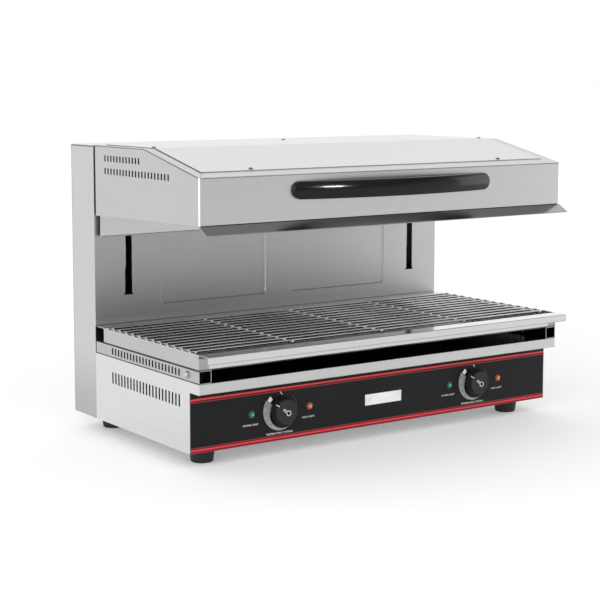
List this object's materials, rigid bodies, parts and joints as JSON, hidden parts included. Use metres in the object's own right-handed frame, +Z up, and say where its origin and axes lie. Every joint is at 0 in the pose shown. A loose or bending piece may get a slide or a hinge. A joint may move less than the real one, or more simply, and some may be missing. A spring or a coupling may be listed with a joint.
{
  "type": "salamander grill",
  "caption": "Countertop salamander grill with a hood that rises on a rear column above a wire rack and drip tray, on a vented base with thermostat knobs.",
  "frame": {"origin": "middle of the bounding box in plan, on the underside of the feet", "axes": "+X to the right seen from the front, -Y to the front, +Z up"},
  "size_m": [0.813, 0.5042, 0.5314],
  "materials": {
    "casing_steel": "satin",
    "inner_steel": "satin",
    "fastener_steel": "polished",
    "bright_rod": "polished",
    "rack_wire": "polished",
    "element_tube": "matte",
    "panel_black": "satin",
    "cylinder_black": "gloss",
    "carriage_aluminium": "satin",
    "bush_brass": "satin",
    "handle_black": "gloss",
    "knob_black": "satin",
    "switch_plastic": "matte",
    "gland_plastic": "matte",
    "lens_green": "gloss",
    "lens_orange": "gloss",
    "terminal_ceramic": "matte",
    "foot_rubber": "matte",
    "insulation_fibre": "matte"
  },
  "bodies": {
    "frame": {"base_deck": "casing_steel", "base_floor": "inner_steel", "base_side_left": "casing_steel", "base_side_right": "casing_steel", "cable_gland": "gland_plastic", "column_back_panel": "casing_steel", "column_front_panel": "casing_steel", "column_side_left": "casing_steel", "column_side_right": "casing_steel", "column_top_cap": "casing_steel", "control_panel": "panel_black", "feet": "foot_rubber", "foot_nuts": "fastener_steel", "foot_screws": "fastener_steel", "gas_spring_cylinder_left": "cylinder_black", "gas_spring_cylinder_right": "cylinder_black", "gland_locknut": "gland_plastic", "guide_rod_left": "bright_rod", "guide_rod_right": "bright_rod", "lamp_bodies": "switch_plastic", "lamp_lenses_green": "lens_green", "lamp_lenses_orange": "lens_orange", "lift_bracket_left": "inner_steel", "lift_bracket_right": "inner_steel", "rail_screws": "fastener_steel", "terminal_block": "terminal_ceramic", "thermostat_left": "switch_plastic", "thermostat_right": "switch_plastic", "tray_rail_left": "casing_steel", "tray_rail_right": "casing_steel"},
    "hood": {"hood_shell": "casing_steel", "hood_cover": "casing_steel", "cover_screws": "fastener_steel", "hood_visor": "casing_steel", "hood_rear_wall": "casing_steel", "handle": "handle_black", "handle_screws": "fastener_steel", "reflector": "inner_steel", "reflector_ledges": "inner_steel", "insulation_pad": "insulation_fibre", "heater_brackets": "inner_steel", "heating_element_left": "element_tube", "heating_element_right": "element_tube", "lift_arm_left": "inner_steel", "lift_arm_right": "inner_steel", "arm_bolts": "fastener_steel", "lift_carriage_left": "carriage_aluminium", "lift_carriage_right": "carriage_aluminium", "carriage_bushes": "bush_brass", "carriage_crossbar": "carriage_aluminium", "gas_spring_rod_left": "bright_rod", "gas_spring_rod_right": "bright_rod"},
    "tray": {"drip_tray": "casing_steel"},
    "rack": {"wire_rack": "rack_wire"},
    "knob_left": {"knob_left": "knob_black", "thermostat_shaft_left": "bright_rod"},
    "knob_right": {"knob_right": "knob_black", "thermostat_shaft_right": "bright_rod"}
  },
  "joints": [
    {"name": "hood_slide", "type": "slide", "parent": "frame", "child": "hood", "axis": [0, 0, 1], "range_m": [-0.145, 0]},
    {"name": "tray_slide", "type": "slide", "parent": "frame", "child": "tray", "axis": [0, -1, 0], "range_m": [0, 0.3]},
    {"name": "rack_lift", "type": "slide", "parent": "tray", "child": "rack", "axis": [0, 0, 1], "range_m": [0, 0.12]},
    {"name": "knob_left_turn", "type": "hinge", "parent": "frame", "child": "knob_left", "pos_m": [-0.219, -0.18205, 0.081], "axis": [0, 1, 0], "range_deg": [0, 300]},
    {"name": "knob_right_turn", "type": "hinge", "parent": "frame", "child": "knob_right", "pos_m": [0.219, -0.18205, 0.081], "axis": [0, 1, 0], "range_deg": [0, 300]}
  ]
}
